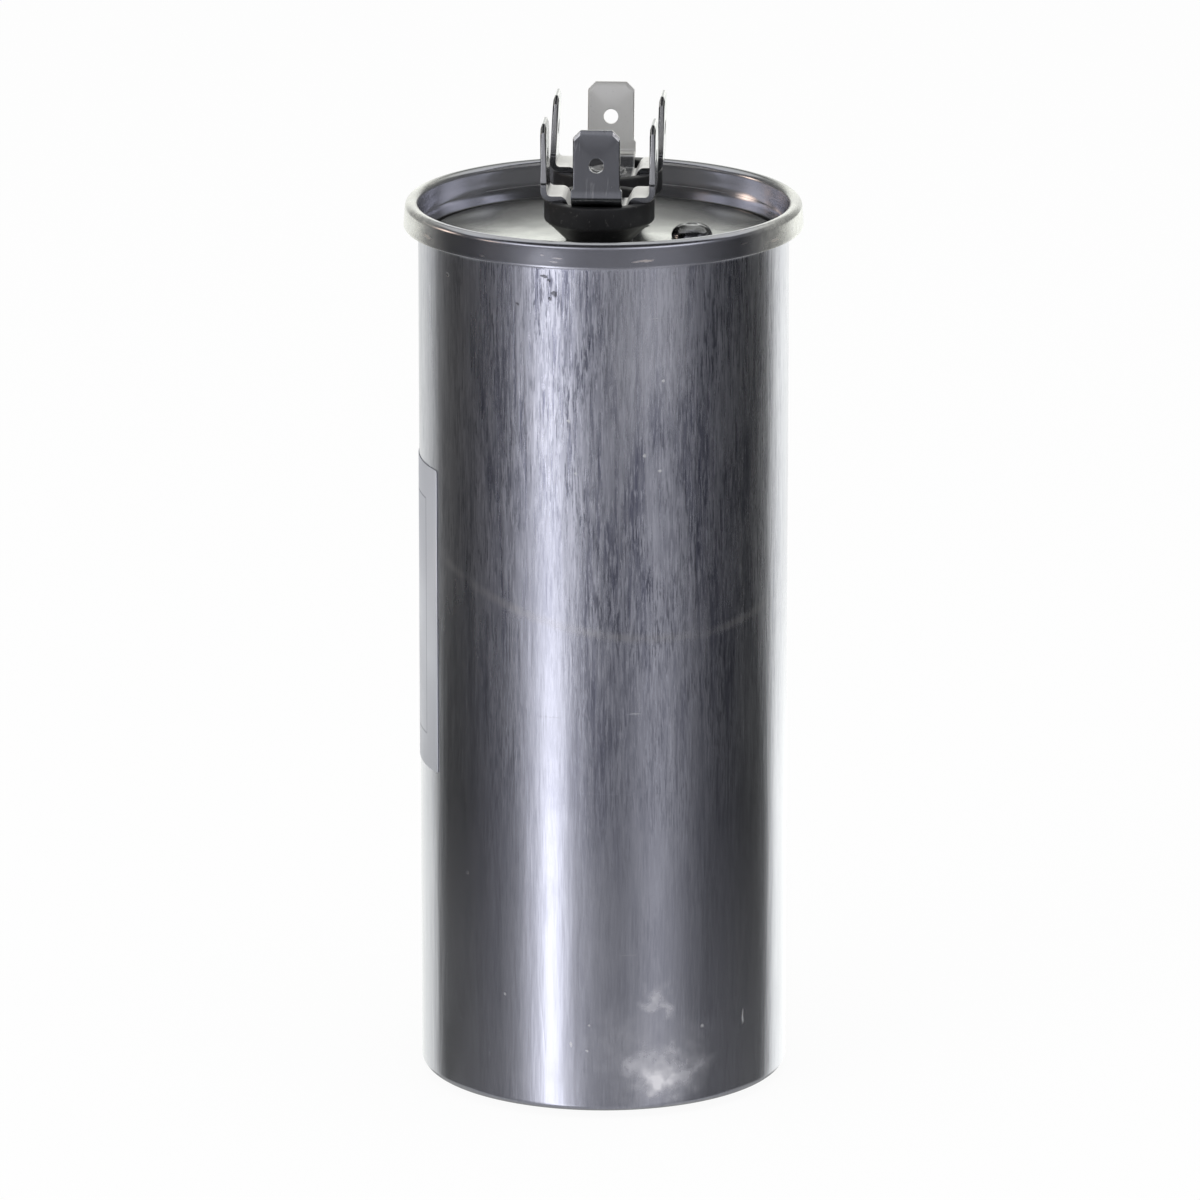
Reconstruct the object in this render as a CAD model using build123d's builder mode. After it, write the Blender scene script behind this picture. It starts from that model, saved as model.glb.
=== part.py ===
from build123d import *

import os
from math import atan, cos, tan

# Motor run capacitor: a wound film element in oil, sealed in a drawn aluminium can by a tin-plated
# steel lid with a double seam. Two insulated studs in the lid each carry three quick-connect tabs.
# The origin is the centre of the base, +Z runs up to the tabs, and one row of studs lies along Y.
# Lengths are millimetres and angles are degrees.

# Can
can_diameter = 50.0
can_height = 122.0
can_sheet = 0.5
can_corner_radius = 4.0

# Seam and lid
lid_sheet = 0.3
seam_play = 0.02
seam_flare = 0.8
flare_start_drop = 5.4
flare_end_drop = 3.2
skirt_drop = 2.5
lid_hook_drop = 1.6
can_hook_drop = 2.1
lid_drop = 4.8
groove_depth = 0.9
flare_bend = 0.4
groove_bend = 0.15
panel_bend = 0.2
wall_foot_bend = 0.1
wall_top_bend = 0.6
skirt_bend = 0.2
hook_bend = 0.15

# Fill plug
plug_offset = 11.9
plug_head_diameter = 5.6
plug_head_height = 1.5
plug_shank_diameter = 3.0
plug_tail_diameter = 4.2
plug_tail_height = 0.8

# Label
label_sheet = 0.07
label_height = 42.3
label_top_drop = 35.0
label_wrap_angle = 170.0
label_edge_azimuth = -60.0
label_corner_radius = 2.0

# Stud insulators
stud_spacing = 17.9
bush_diameter = 14.8
bush_waist_diameter = 12.9
bush_neck_diameter = 9.0
bush_top_height = 7.1
bush_rim_height = 2.9
bush_shoulder_height = 0.8
bush_neck_height = 0.9
bush_recess_depth = 1.6
bush_recess_diameter = 11.9
bush_edge_radius = 0.25
spigot_diameter = 6.6
gasket_height = 0.6
gasket_diameter = 10.0
inner_washer_diameter = 13.0
inner_washer_height = 1.5

# Quick-connect tabs
tab_sheet = 0.8
tab_width = 6.3
tab_length = 8.3
tab_corner = 1.05
tab_bevel_length = 0.7
tab_bevel_depth = 0.22
tab_hole_diameter = 2.0
tab_hole_drop = 4.75
tab_tip_height = 10.8
arm_width = 6.8
side_reach = 7.26
outward_reach = 6.16
step_start = 3.7
step_run = 0.9
step_bend = 0.3
tab_bend = 0.6

# Rivets, lugs and leads
rivet_diameter = 3.2
rivet_head_diameter = 5.2
rivet_head_height = 0.9
rivet_tail_diameter = 5.0
rivet_tail_height = 0.8
lug_diameter = 7.0
lug_sheet = 0.5
lug_width = 3.0
lug_reach = 5.0
lead_diameter = 1.0
lead_bend = 1.0
lead_stub = 2.2
lead_landing = 7.5

# Wound element and its supports
fit_play = 0.15
core_diameter = 8.0
core_bore = 6.0
spray_height = 0.8
wrap_sheet = 0.3
cup_wall = 1.2
cup_height = 16.0
rib_count = 4
rib_width = 1.6
rib_height = 2.2
rib_inner_radius = 5.0
head_space = 8.4
spacer_height = 1.5
spacer_slot_width = 6.0
spacer_slot_length = 22.0

# Radii and levels that follow from the sizes above
can_radius = can_diameter / 2
can_bore_radius = can_radius - can_sheet
rim_top = can_height
flare_start = rim_top - flare_start_drop
flare_end = rim_top - flare_end_drop
seam_wall_outer = can_radius + seam_flare
seam_wall_inner = seam_wall_outer - can_sheet
mouth_radius = seam_wall_inner - seam_play - lid_sheet
seam_thickness = 3 * lid_sheet + 2 * can_sheet + 4 * seam_play
rim_radius = mouth_radius + seam_thickness
fold_gap = lid_sheet + 2 * seam_play
fold_top = rim_top - lid_sheet - seam_play - can_sheet
lid_top = rim_top - lid_drop
lid_under = lid_top - lid_sheet

stud_offsets = {"front": -stud_spacing / 2, "rear": stud_spacing / 2}
bush_foot = lid_top + gasket_height
bush_top = lid_top + bush_top_height
bush_shoulder = bush_top - bush_rim_height
hub_under = bush_top - bush_recess_depth
washer_under = lid_under - inner_washer_height
lug_under = washer_under - lug_sheet
tab_tip = bush_top + tab_tip_height

cup_radius = can_bore_radius - fit_play
cup_floor = can_sheet + cup_wall
stack_base = cup_floor + rib_height
stack_top = lid_under - head_space
wrap_radius = cup_radius - cup_wall - fit_play
element_radius = wrap_radius - wrap_sheet - seam_play
element_bore_radius = core_diameter / 2 + seam_play

os.makedirs("parts", exist_ok=True)


def save(piece, name):
    """Label a finished piece and write its STEP file."""
    piece.part.label = name
    export_step(piece.part, f"parts/{name}.step")


def make_ring(inner_radius, outer_radius, base, height):
    """A plain ring about the can's axis."""
    with BuildPart() as ring:
        with BuildSketch(Plane.XY.offset(base)):
            Circle(outer_radius)
            Circle(inner_radius, mode=Mode.SUBTRACT)
        extrude(amount=height)
    return ring


def bent_sheet(points, bends, sheet, side):
    """Draw the closed section of a bent sheet inside a BuildLine.

    The points are one surface, and the sheet lies to their left (side 1) or right (side -1).
    The bends are inside radii, one for each corner.
    """
    path = [Vector(*point) for point in points]
    runs = [(end - start).normalized() for start, end in zip(path, path[1:])]
    far_side = [path[0] + across(runs[0]) * sheet * side]
    near_radii = []
    far_radii = []
    for corner, before, after, bend in zip(path[1:], runs, runs[1:], bends):
        middle = (before + after).normalized()
        far_side.append(corner + across(middle) * sheet * side / before.dot(middle))
        turns_to_sheet = before.cross(after).Z * side > 0
        near_radii.append(bend + sheet if turns_to_sheet else bend)
        far_radii.append(bend if turns_to_sheet else bend + sheet)
    far_side.append(path[-1] + across(runs[-1]) * sheet * side)
    near = FilletPolyline(*path, radius=near_radii)
    far = FilletPolyline(*far_side, radius=far_radii)
    Line(near @ 0, far @ 0)
    Line(near @ 1, far @ 1)


def upright_plane(place, angle):
    """A vertical plane through a place on the ground plan, its x axis turned by the angle."""
    heading = Vector(1, 0, 0).rotate(Axis.Z, angle)
    return Plane(origin=(*place, 0), x_dir=heading, z_dir=heading.cross(Vector(0, 0, 1)))


def upright_axis(place):
    """The vertical axis through a place on the ground plan."""
    return Axis((*place, 0), (0, 0, 1))


def across(direction):
    """The direction turned a quarter turn to the left."""
    return Vector(-direction.Y, direction.X)


def make_can():
    """The drawn can, from its flat base up to the hook that the lid folds round."""
    hook_outer = seam_wall_outer + fold_gap
    fold_bend = 0.49 * fold_gap
    surface = [
        (0, 0),
        (can_radius, 0),
        (can_radius, flare_start),
        (seam_wall_outer, flare_end),
        (seam_wall_outer, fold_top),
        (hook_outer, fold_top),
        (hook_outer, rim_top - can_hook_drop),
    ]
    bends = [can_corner_radius - can_sheet, flare_bend, flare_bend, fold_bend, fold_bend]
    with BuildPart() as can:
        with BuildSketch(Plane.XZ):
            with BuildLine():
                bent_sheet(surface, bends, can_sheet, 1)
            make_face()
        revolve(axis=Axis.Z)
    return can


def make_lid():
    """The lid: panel, groove, sloping wall, seam roll, skirt and the hook tucked under the can's."""
    slope = atan(seam_flare / (flare_start_drop - flare_end_drop))
    wall_foot = can_radius - (can_sheet + lid_sheet) / cos(slope) - seam_play
    wall_top = flare_start + (mouth_radius - wall_foot) / tan(slope)
    panel_radius = wall_foot - 2.1 * groove_bend
    groove_floor = lid_top - groove_depth
    hook_surface = seam_wall_outer + seam_play
    skirt_foot = rim_top - skirt_drop
    roll_bend = 0.49 * seam_thickness - lid_sheet
    surface = [
        (0, lid_top),
        (panel_radius, lid_top),
        (panel_radius, groove_floor),
        (wall_foot, groove_floor),
        (wall_foot, flare_start),
        (mouth_radius, wall_top),
        (mouth_radius, rim_top),
        (rim_radius, rim_top),
        (rim_radius, skirt_foot),
        (hook_surface, skirt_foot - (rim_radius - hook_surface)),
        (hook_surface, rim_top - lid_hook_drop),
    ]
    bends = [panel_bend, groove_bend, groove_bend, wall_foot_bend, wall_top_bend]
    bends += [roll_bend, roll_bend, skirt_bend, hook_bend]
    with BuildPart() as lid:
        with BuildSketch(Plane.XZ):
            with BuildLine():
                bent_sheet(surface, bends, lid_sheet, -1)
            make_face()
        revolve(axis=Axis.Z)
        with BuildSketch(Plane.XY.offset(lid_top)):
            with Locations(*[(0, offset) for offset in stud_offsets.values()]):
                Circle(spigot_diameter / 2 + seam_play)
            with Locations((plug_offset, 0)):
                Circle(plug_shank_diameter / 2 + seam_play)
        extrude(amount=-lid_sheet, mode=Mode.SUBTRACT)
    return lid


def make_seam_compound():
    """The ring of sealing compound between the lid's hook and the fold of the can."""
    inner_radius = seam_wall_outer + seam_play
    base = rim_top - lid_hook_drop + seam_play
    return make_ring(inner_radius, inner_radius + lid_sheet, base, fold_top - fold_gap / 2 - base)


def make_fill_plug():
    """The domed plug that closes the oil filling hole, with its flattened tail under the lid."""
    head_radius = plug_head_diameter / 2
    with BuildPart() as plug:
        with BuildSketch(Plane.XZ):
            with BuildLine():
                crown = (plug_offset, lid_top + plug_head_height)
                edge = (plug_offset + head_radius, lid_top)
                Polyline(crown, (plug_offset, lid_top), edge)
                TangentArc(crown, edge, tangent=(1, 0))
            make_face()
        revolve(axis=Axis((plug_offset, 0, 0), (0, 0, 1)))
        with BuildSketch(Plane.XY.offset(lid_top)):
            with Locations((plug_offset, 0)):
                Circle(plug_shank_diameter / 2)
        extrude(amount=-lid_sheet)
        with BuildSketch(Plane.XY.offset(lid_under)):
            with Locations((plug_offset, 0)):
                Circle(plug_tail_diameter / 2)
        extrude(amount=-plug_tail_height)
    return plug


def make_label():
    """The foil label, wrapped round the back left of the can and backed by it all over."""
    inner_radius = can_radius + seam_play
    label_top = rim_top - label_top_drop
    first_end = label_edge_azimuth - 90 - label_wrap_angle
    radius = label_corner_radius
    with BuildPart() as label:
        with BuildSketch(upright_plane((0, 0), first_end)):
            with Locations((inner_radius, label_top)):
                Rectangle(label_sheet, label_height, align=(Align.MIN, Align.MAX))
        revolve(axis=Axis.Z, revolution_arc=label_wrap_angle)
        for angle, inward in ((first_end, 1), (first_end + label_wrap_angle, -1)):
            corners = [(inward, label_top, -1), (inward, label_top - label_height, 1)]
            with BuildSketch(upright_plane((0, 0), angle + 90).offset(inner_radius)):
                for along, level, up in corners:
                    with Locations((along * radius / 2, level + up * radius / 2)):
                        Rectangle(radius, radius)
                    with Locations((along * radius, level + up * radius)):
                        Circle(radius, mode=Mode.SUBTRACT)
            extrude(amount=radius, both=True, mode=Mode.SUBTRACT)
    return label


def make_insulator(place):
    """A flared bush on a neck, recessed for the tab hub, with a spigot down through the lid."""
    bore_radius = rivet_diameter / 2 + seam_play
    waist = bush_shoulder - bush_shoulder_height
    with BuildPart() as bush:
        with BuildSketch(upright_plane(place, 0)):
            with BuildLine():
                Polyline(
                    (bore_radius, washer_under),
                    (spigot_diameter / 2, washer_under),
                    (spigot_diameter / 2, bush_foot),
                    (bush_neck_diameter / 2, bush_foot),
                    (bush_neck_diameter / 2, bush_foot + bush_neck_height),
                    (bush_waist_diameter / 2, waist),
                    (bush_diameter / 2, bush_shoulder),
                    (bush_diameter / 2, bush_top),
                    (bush_recess_diameter / 2, bush_top),
                    (bush_recess_diameter / 2, hub_under),
                    (bore_radius, hub_under),
                    close=True,
                )
            make_face()
        revolve(axis=upright_axis(place))
        rim = bush.edges().filter_by(GeomType.CIRCLE).group_by(Axis.Z)[-1]
        fillet(rim, radius=bush_edge_radius)
    return bush


def make_stud_ring(place, inner_radius, outer_radius, base, height):
    """A flat ring about a stud, such as a gasket or a washer."""
    with BuildPart() as ring:
        with BuildSketch(Plane.XY.offset(base)):
            with Locations(place):
                Circle(outer_radius)
                Circle(inner_radius, mode=Mode.SUBTRACT)
        extrude(amount=height)
    return ring


def draw_arm_lines(reach):
    """The side view of one arm: hub, step up onto the bush's rim, bend and upright tab."""
    outer_face = reach + tab_sheet / 2
    underside = [
        (0, hub_under),
        (step_start, hub_under),
        (step_start + step_run, bush_top),
        (outer_face, bush_top),
        (outer_face, tab_tip),
    ]
    bent_sheet(underside, [step_bend, step_bend, tab_bend], tab_sheet, 1)


def cut_tip_bevels(reach):
    """Thin the tip of the tab on both faces, so that a connector slides on."""
    for face, inward in ((reach + tab_sheet / 2, -1), (reach - tab_sheet / 2, 1)):
        bevel = [(face, tab_tip - tab_bevel_length), (face, tab_tip)]
        bevel.append((face + inward * tab_bevel_depth, tab_tip))
        Polygon(*bevel, align=None, mode=Mode.SUBTRACT)


def draw_tab_waste():
    """What is stamped away round a tab: its narrower sides, clipped corners and centre hole."""
    half_tab = tab_width / 2
    shoulder = tab_tip - tab_length
    tab = [
        (-half_tab, shoulder),
        (half_tab, shoulder),
        (half_tab, tab_tip - tab_corner),
        (half_tab - tab_corner, tab_tip),
        (tab_corner - half_tab, tab_tip),
        (-half_tab, tab_tip - tab_corner),
    ]
    with Locations((0, shoulder)):
        Rectangle(arm_width, tab_length, align=(Align.CENTER, Align.MIN))
    Polygon(*tab, align=None, mode=Mode.SUBTRACT)
    with Locations((0, tab_tip - tab_hole_drop)):
        Circle(tab_hole_diameter / 2)


def make_terminal(place, outward_angle):
    """Three tabs bent up from one cross-shaped hub, none on the side of the other stud."""
    arms = {0: side_reach, 180: side_reach, outward_angle: outward_reach}
    with BuildPart() as terminal:
        for angle, reach in arms.items():
            with BuildSketch(upright_plane(place, angle)):
                with BuildLine():
                    draw_arm_lines(reach)
                make_face()
                cut_tip_bevels(reach)
            extrude(amount=arm_width / 2, both=True)
        for angle, reach in arms.items():
            with BuildSketch(upright_plane(place, angle + 90).offset(reach)):
                draw_tab_waste()
            extrude(amount=tab_sheet, both=True, mode=Mode.SUBTRACT)
        with BuildSketch(Plane.XY.offset(hub_under)):
            with Locations(place):
                Rectangle(arm_width, arm_width)
        extrude(amount=tab_sheet)
        with BuildSketch(Plane.XY.offset(hub_under)):
            with Locations(place):
                Circle(rivet_diameter / 2 + seam_play)
        extrude(amount=tab_sheet, mode=Mode.SUBTRACT)
    return terminal


def make_rivet(place):
    """The rivet that clamps hub, bush, gasket, lid, washer and lug together."""
    hub_top = hub_under + tab_sheet
    levels = [
        (hub_top, rivet_head_height, rivet_head_diameter),
        (hub_top, lug_under - hub_top, rivet_diameter),
        (lug_under, -rivet_tail_height, rivet_tail_diameter),
    ]
    with BuildPart() as rivet:
        for base, height, diameter in levels:
            with BuildSketch(Plane.XY.offset(base)):
                with Locations(place):
                    Circle(diameter / 2)
            extrude(amount=height)
        ends = rivet.edges().group_by(Axis.Z)
        fillet(ends[-1] + ends[0], radius=rivet_tail_height / 2)
    return rivet


def make_lug(place, inward_angle):
    """The soldering lug under the inner washer, with its tail towards the can's axis."""
    with BuildPart() as lug:
        with BuildSketch(Plane.XY.offset(lug_under)):
            with Locations(Location((*place, 0), (0, 0, inward_angle))):
                Circle(lug_diameter / 2)
                Rectangle(lug_reach + lug_width / 2, lug_width, align=(Align.MIN, Align.CENTER))
                Circle(rivet_diameter / 2 + seam_play, mode=Mode.SUBTRACT)
        extrude(amount=lug_sheet)
    return lug


def make_lead(route):
    """A round wire along a route of (y, z) points in the plane of the studs."""
    points = [(0, y, z) for y, z in route]
    with BuildPart() as lead:
        with BuildLine() as centreline:
            FilletPolyline(*points, radius=lead_bend)
        with BuildSketch(Plane(origin=points[0], z_dir=centreline.line % 0)):
            Circle(lead_diameter / 2)
        sweep(path=centreline.line)
    return lead


def make_bottom_cup():
    """The insulating cup in the foot of the can, with ribs that carry the wound element."""
    rib_end = cup_radius - cup_wall
    surface = [(0, can_sheet), (cup_radius, can_sheet), (cup_radius, can_sheet + cup_height)]
    with BuildPart() as cup:
        with BuildSketch(Plane.XZ):
            with BuildLine():
                bent_sheet(surface, [can_corner_radius - can_sheet - cup_wall], cup_wall, 1)
            make_face()
        revolve(axis=Axis.Z)
        with BuildSketch(Plane.XY.offset(cup_floor)):
            with PolarLocations(rib_inner_radius, rib_count, start_angle=180 / rib_count):
                Rectangle(rib_end - rib_inner_radius, rib_width, align=(Align.MIN, Align.CENTER))
        extrude(amount=rib_height)
    return cup


def make_top_spacer():
    """The insulating disc on top of the element, slotted for the two leads."""
    with BuildPart() as spacer:
        with BuildSketch(Plane.XY.offset(stack_top)):
            Circle(cup_radius)
            SlotOverall(spacer_slot_length, spacer_slot_width, rotation=90, mode=Mode.SUBTRACT)
        extrude(amount=spacer_height)
    return spacer


def make_stack_ring(base, top):
    """A layer of the wound element, between its core tube and its wrap."""
    return make_ring(element_bore_radius, element_radius, base, top - base)


def upper_route(stud_y, foot_y):
    """From a lug's tail down, with one sideways step, to a point above the wound element."""
    tail_y = stud_y - lug_reach * stud_y / abs(stud_y)
    step_top = lug_under - lead_stub
    step_foot = stack_top + lead_stub
    return [(tail_y, lug_under), (tail_y, step_top), (foot_y, step_foot)]


save(make_can(), "can")
save(make_lid(), "lid")
save(make_seam_compound(), "seam_compound")
save(make_fill_plug(), "fill_plug")
save(make_label(), "label")

for side, stud_y in stud_offsets.items():
    stud = (0, stud_y)
    outward_angle = 90 if stud_y > 0 else -90
    spigot_hole_radius = spigot_diameter / 2 + seam_play
    gasket = (spigot_hole_radius, gasket_diameter / 2, lid_top, gasket_height)
    washer = (spigot_hole_radius, inner_washer_diameter / 2, washer_under, inner_washer_height)
    save(make_insulator(stud), f"{side}_insulator")
    save(make_stud_ring(stud, *gasket), f"{side}_gasket")
    save(make_stud_ring(stud, *washer), f"{side}_inner_washer")
    save(make_terminal(stud, outward_angle), f"{side}_terminal")
    save(make_rivet(stud), f"{side}_rivet")
    save(make_lug(stud, -outward_angle), f"{side}_lug")

lead_level = stack_base - lead_diameter / 2 - seam_play
front_route = upper_route(stud_offsets["front"], -lead_landing) + [(-lead_landing, stack_top)]
rear_route = upper_route(stud_offsets["rear"], 0) + [(0, lead_level), (lead_landing, lead_level)]
save(make_lead(front_route), "front_lead")
save(make_lead(rear_route), "rear_lead")

core_length = stack_top - stack_base
save(make_stack_ring(stack_base, stack_base + spray_height), "lower_end_spray")
save(make_stack_ring(stack_base + spray_height, stack_top - spray_height), "wound_element")
save(make_stack_ring(stack_top - spray_height, stack_top), "upper_end_spray")
save(make_ring(core_bore / 2, core_diameter / 2, stack_base, core_length), "core_tube")
save(make_ring(wrap_radius - wrap_sheet, wrap_radius, stack_base, core_length), "element_wrap")
save(make_bottom_cup(), "bottom_cup")
save(make_top_spacer(), "top_spacer")
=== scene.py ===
from math import copysign, cos, pi, radians, sin, tan

import bmesh
import bpy
from mathutils import Matrix, Vector, noise


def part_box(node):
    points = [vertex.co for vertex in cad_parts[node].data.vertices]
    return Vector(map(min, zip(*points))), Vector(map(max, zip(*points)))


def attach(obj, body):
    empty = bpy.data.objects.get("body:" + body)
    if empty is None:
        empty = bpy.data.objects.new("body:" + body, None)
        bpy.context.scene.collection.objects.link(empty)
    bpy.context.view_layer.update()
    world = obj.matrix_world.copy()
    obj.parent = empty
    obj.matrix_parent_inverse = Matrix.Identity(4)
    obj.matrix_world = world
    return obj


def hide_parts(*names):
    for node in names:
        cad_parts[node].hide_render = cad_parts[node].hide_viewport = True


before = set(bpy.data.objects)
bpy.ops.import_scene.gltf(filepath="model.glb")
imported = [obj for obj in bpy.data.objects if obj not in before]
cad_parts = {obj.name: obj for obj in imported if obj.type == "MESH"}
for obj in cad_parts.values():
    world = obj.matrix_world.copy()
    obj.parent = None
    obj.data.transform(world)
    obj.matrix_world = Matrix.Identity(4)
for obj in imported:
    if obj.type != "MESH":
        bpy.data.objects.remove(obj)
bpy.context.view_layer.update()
mm = 0.001  # pieces are shaped in millimetres and scaled to metres when they are finished


def nodeBox(name):  # lowest and highest corner of a CAD node, in millimetres
    low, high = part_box(name)
    return Vector(low) / mm, Vector(high) / mm


cameraView = {
    "azimuth": 3.69,
    "elevation": 15.19,
    "distance": 1.379,
    "aimHeight": 0.06603,
    "lens": 304.0,
    "sensor": 36.0,
    "shift": -0.00303,
}


def setCamera():
    data = bpy.data.cameras.new("studioCamera")
    data.lens = cameraView["lens"]
    data.sensor_width = cameraView["sensor"]
    data.shift_x = cameraView["shift"]
    data.clip_start = 0.05
    data.clip_end = 30.0
    camera = bpy.data.objects.new("studioCamera", data)
    turn = radians(cameraView["azimuth"])
    rise = radians(cameraView["elevation"])
    away = Vector((sin(turn) * cos(rise), -cos(turn) * cos(rise), sin(rise)))
    camera.location = Vector((0, 0, cameraView["aimHeight"])) + away * cameraView["distance"]
    camera.rotation_euler = (-away).to_track_quat("-Z", "Y").to_euler()
    bpy.context.scene.collection.objects.link(camera)
    bpy.context.scene.camera = camera


def fill(socket, value):  # a socket takes a link or a plain value
    if isinstance(value, bpy.types.NodeSocket):
        socket.id_data.links.new(value, socket)
    else:
        socket.default_value = value


def addNode(tree, kind, inputs, **settings):
    node = tree.nodes.new("ShaderNode" + kind)
    for name, value in settings.items():
        setattr(node, name, value)
    for name, value in inputs.items():
        fill(node.inputs[name], value)
    return node


def joined(kind, inputs, **settings):  # a node in the tree of the sockets that feed it
    fed = [value for value in inputs.values() if isinstance(value, bpy.types.NodeSocket)]
    return addNode(fed[0].id_data, kind, inputs, **settings)


def calc(operation, *values, clamp=False):
    return joined("Math", dict(enumerate(values)), operation=operation, use_clamp=clamp).outputs[0]


def folded(operation, values):
    total, *others = values
    for value in others:
        total = calc(operation, total, value)
    return total


def added(*masks):
    return folded("ADD", masks)


def times(*masks):
    return folded("MULTIPLY", masks)


def highest(*masks):
    return folded("MAXIMUM", masks)


def weighted(*pairs):  # the sum of masks, each times its share
    return added(*[times(mask, share) for mask, share in pairs])


def opposite(mask):
    return calc("SUBTRACT", 1.0, mask, clamp=True)


def vectorCalc(operation, *values):
    node = joined("VectorMath", dict(enumerate(values)), operation=operation)
    return node.outputs["Value" if operation in ("DOT_PRODUCT", "LENGTH") else "Vector"]


def parted(vector):
    return joined("SeparateXYZ", {0: vector}).outputs


def remap(value, low, high, newLow=0.0, newHigh=1.0, kind="LINEAR"):
    inputs = {"Value": value, "From Min": low, "From Max": high, "To Min": newLow, "To Max": newHigh}
    return joined("MapRange", inputs, interpolation_type=kind).outputs[0]


def eased(value, low, high, newLow=0.0, newHigh=1.0):
    return remap(value, low, high, newLow, newHigh, "SMOOTHSTEP")


def rise(value, low, high, newLow=0.0, newHigh=1.0):  # low and high in millimetres
    return remap(value, low * mm, high * mm, newLow, newHigh)


def softRise(value, low, high, newLow=0.0, newHigh=1.0):
    return eased(value, low * mm, high * mm, newLow, newHigh)


def mixValue(mask, first, second):
    return joined("Mix", {0: mask, 2: first, 3: second}).outputs[0]


def mixColor(mask, first, second):
    return joined("Mix", {0: mask, 6: first, 7: second}, data_type="RGBA").outputs[2]


def coated(base, layer, mask, share):  # lays a color over another where the mask is
    return mixColor(times(mask, share), base, layer)


def rampOf(value, stops):
    node = joined("ValToRGB", {"Fac": value})
    ramp = node.color_ramp.elements
    ramp.remove(ramp[1])
    ramp[0].position, ramp[0].color = stops[0]
    for place, color in stops[1:]:
        ramp.new(place).color = color
    return node.outputs["Color"]


def noiseOf(vector, scale, detail=3.0, roughness=0.5, distortion=0.0):
    inputs = {"Vector": vector, "Scale": scale, "Detail": detail}
    inputs.update({"Roughness": roughness, "Distortion": distortion})
    return joined("TexNoise", inputs).outputs[0]


def stretched(vector, scale, turn=(0.0, 0.0, 0.0)):
    inputs = {"Vector": vector, "Rotation": turn, "Scale": scale}
    return joined("Mapping", inputs).outputs[0]


studio = {
    "ambient": 0.62,
    "backdrop": 1.18,
    "paleCeiling": 0.7,
    "darkCeiling": 0.03,
    "frontBox": 1.25,
    "boxMiddle": 0.4,
    "boxHeights": (11, 28),
    "room": 0.27,
    "roomLow": 0.12,
    "roomAside": 0.1,
    "roomAsideLow": 0.02,
    "table": 0.36,
    "tableFront": (-40, -58),
    "tableBack": (-21, -28),
    "cardTop": (-9, -5),
    "cornice": (31, 38),
    "coldTint": (0.955, 0.965, 1.06, 1),
    "backTint": (0.985, 1.0, 0.965, 1),
    "warmTint": (1.0, 0.78, 0.64, 1),
    "keyPower": 6.0,
    "keySize": 0.9,
    "topPower": 5.0,
    "topSize": 0.8,
    "lampAim": (0, 0, 0.06),
    "floorSize": 16.0,
    "floorColor": (0.9, 0.9, 0.9, 1),
    "floorGlow": 0.94,
}

# Brightness of the cards and gaps round the set, by compass angle from the camera's side
roundTheSet = [
    (-180, 1.28), (-138, 0.95), (-132, 0.62), (-127, 0.2), (-121, 0.065),
    (-113, 0.062), (-97, 0.06), (-82, 0.09), (-70, 0.15), (-58, 0.27), (-52, 0.40),
    (-46, 0.70), (-41, 1.12), (-37, 1.9), (-33, 2.15), (-29, 1.75), (-25, 1.05), (-20, 0.7),
    (-15, 0.5), (-8, 0.37), (0, 0.27), (12, 0.25), (21, 0.34), (31, 0.5), (42, 0.37),
    (55, 0.19), (70, 0.085), (100, 0.05), (117, 0.06), (125, 0.13), (131, 0.88), (139, 1.4),
]

# Small warm reflections of the workroom: compass angle, height, half width, half height, strength
warmGlints = [(-104, 11, 11, 10, 2.8), (-69, 10, 9, 8, 1.6)]


def warmGlow(compass, height):
    spots = []
    for angle, level, wide, tall, strength in warmGlints:
        sideways = calc("DIVIDE", calc("SUBTRACT", compass, radians(angle)), radians(wide))
        upward = calc("DIVIDE", calc("SUBTRACT", height, radians(level)), radians(tall))
        offset = joined("CombineXYZ", {0: sideways, 1: upward}).outputs[0]
        spots.append(eased(vectorCalc("LENGTH", offset), 1.0, 0.2, 0, strength))
    return added(*spots)


def setBrightness(compass, height, depth):  # table, cards round the set, room and ceiling
    def climb(low, high):  # from one height to another, in degrees
        return eased(height, radians(low), radians(high))

    around = remap(compass, -pi, pi)
    stops = [((angle + 180) / 360, (level / 2, level / 2, level / 2, 1)) for angle, level in roundTheSet]
    cards = times(rampOf(around, stops), 2.0)
    back = eased(depth, -0.25, 0.1)
    edges = [mixValue(back, radians(front), radians(rear))
             for front, rear in zip(studio["tableFront"], studio["tableBack"])]
    low = mixValue(eased(height, *edges), cards, studio["table"])
    over = eased(depth, -0.12, 0.04)
    ceiling = mixValue(over, studio["darkCeiling"], studio["paleCeiling"])
    lifted = remap(height, radians(-5), radians(5))
    near = mixValue(lifted, studio["roomLow"], studio["room"])
    far = mixValue(lifted, studio["roomAsideLow"], studio["roomAside"])
    room = mixValue(remap(depth, -0.85, -0.15), near, far)
    cornice = climb(*studio["cornice"])
    room = mixValue(cornice, room, ceiling)
    backdrop = mixValue(cornice, studio["backdrop"], studio["paleCeiling"])
    upper = mixValue(eased(depth, 0.84, 0.95), room, backdrop)
    foot, top = studio["boxHeights"]
    box = times(climb(foot - 3, foot + 3), climb(top + 3, top - 3))
    box = times(box, remap(depth, -0.35, -0.58))
    sideways = remap(calc("ABSOLUTE", compass), 0.1, 0.5)
    upper = mixValue(box, upper, mixValue(sideways, studio["boxMiddle"], studio["frontBox"]))
    return mixValue(climb(*studio["cardTop"]), low, upper)


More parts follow.
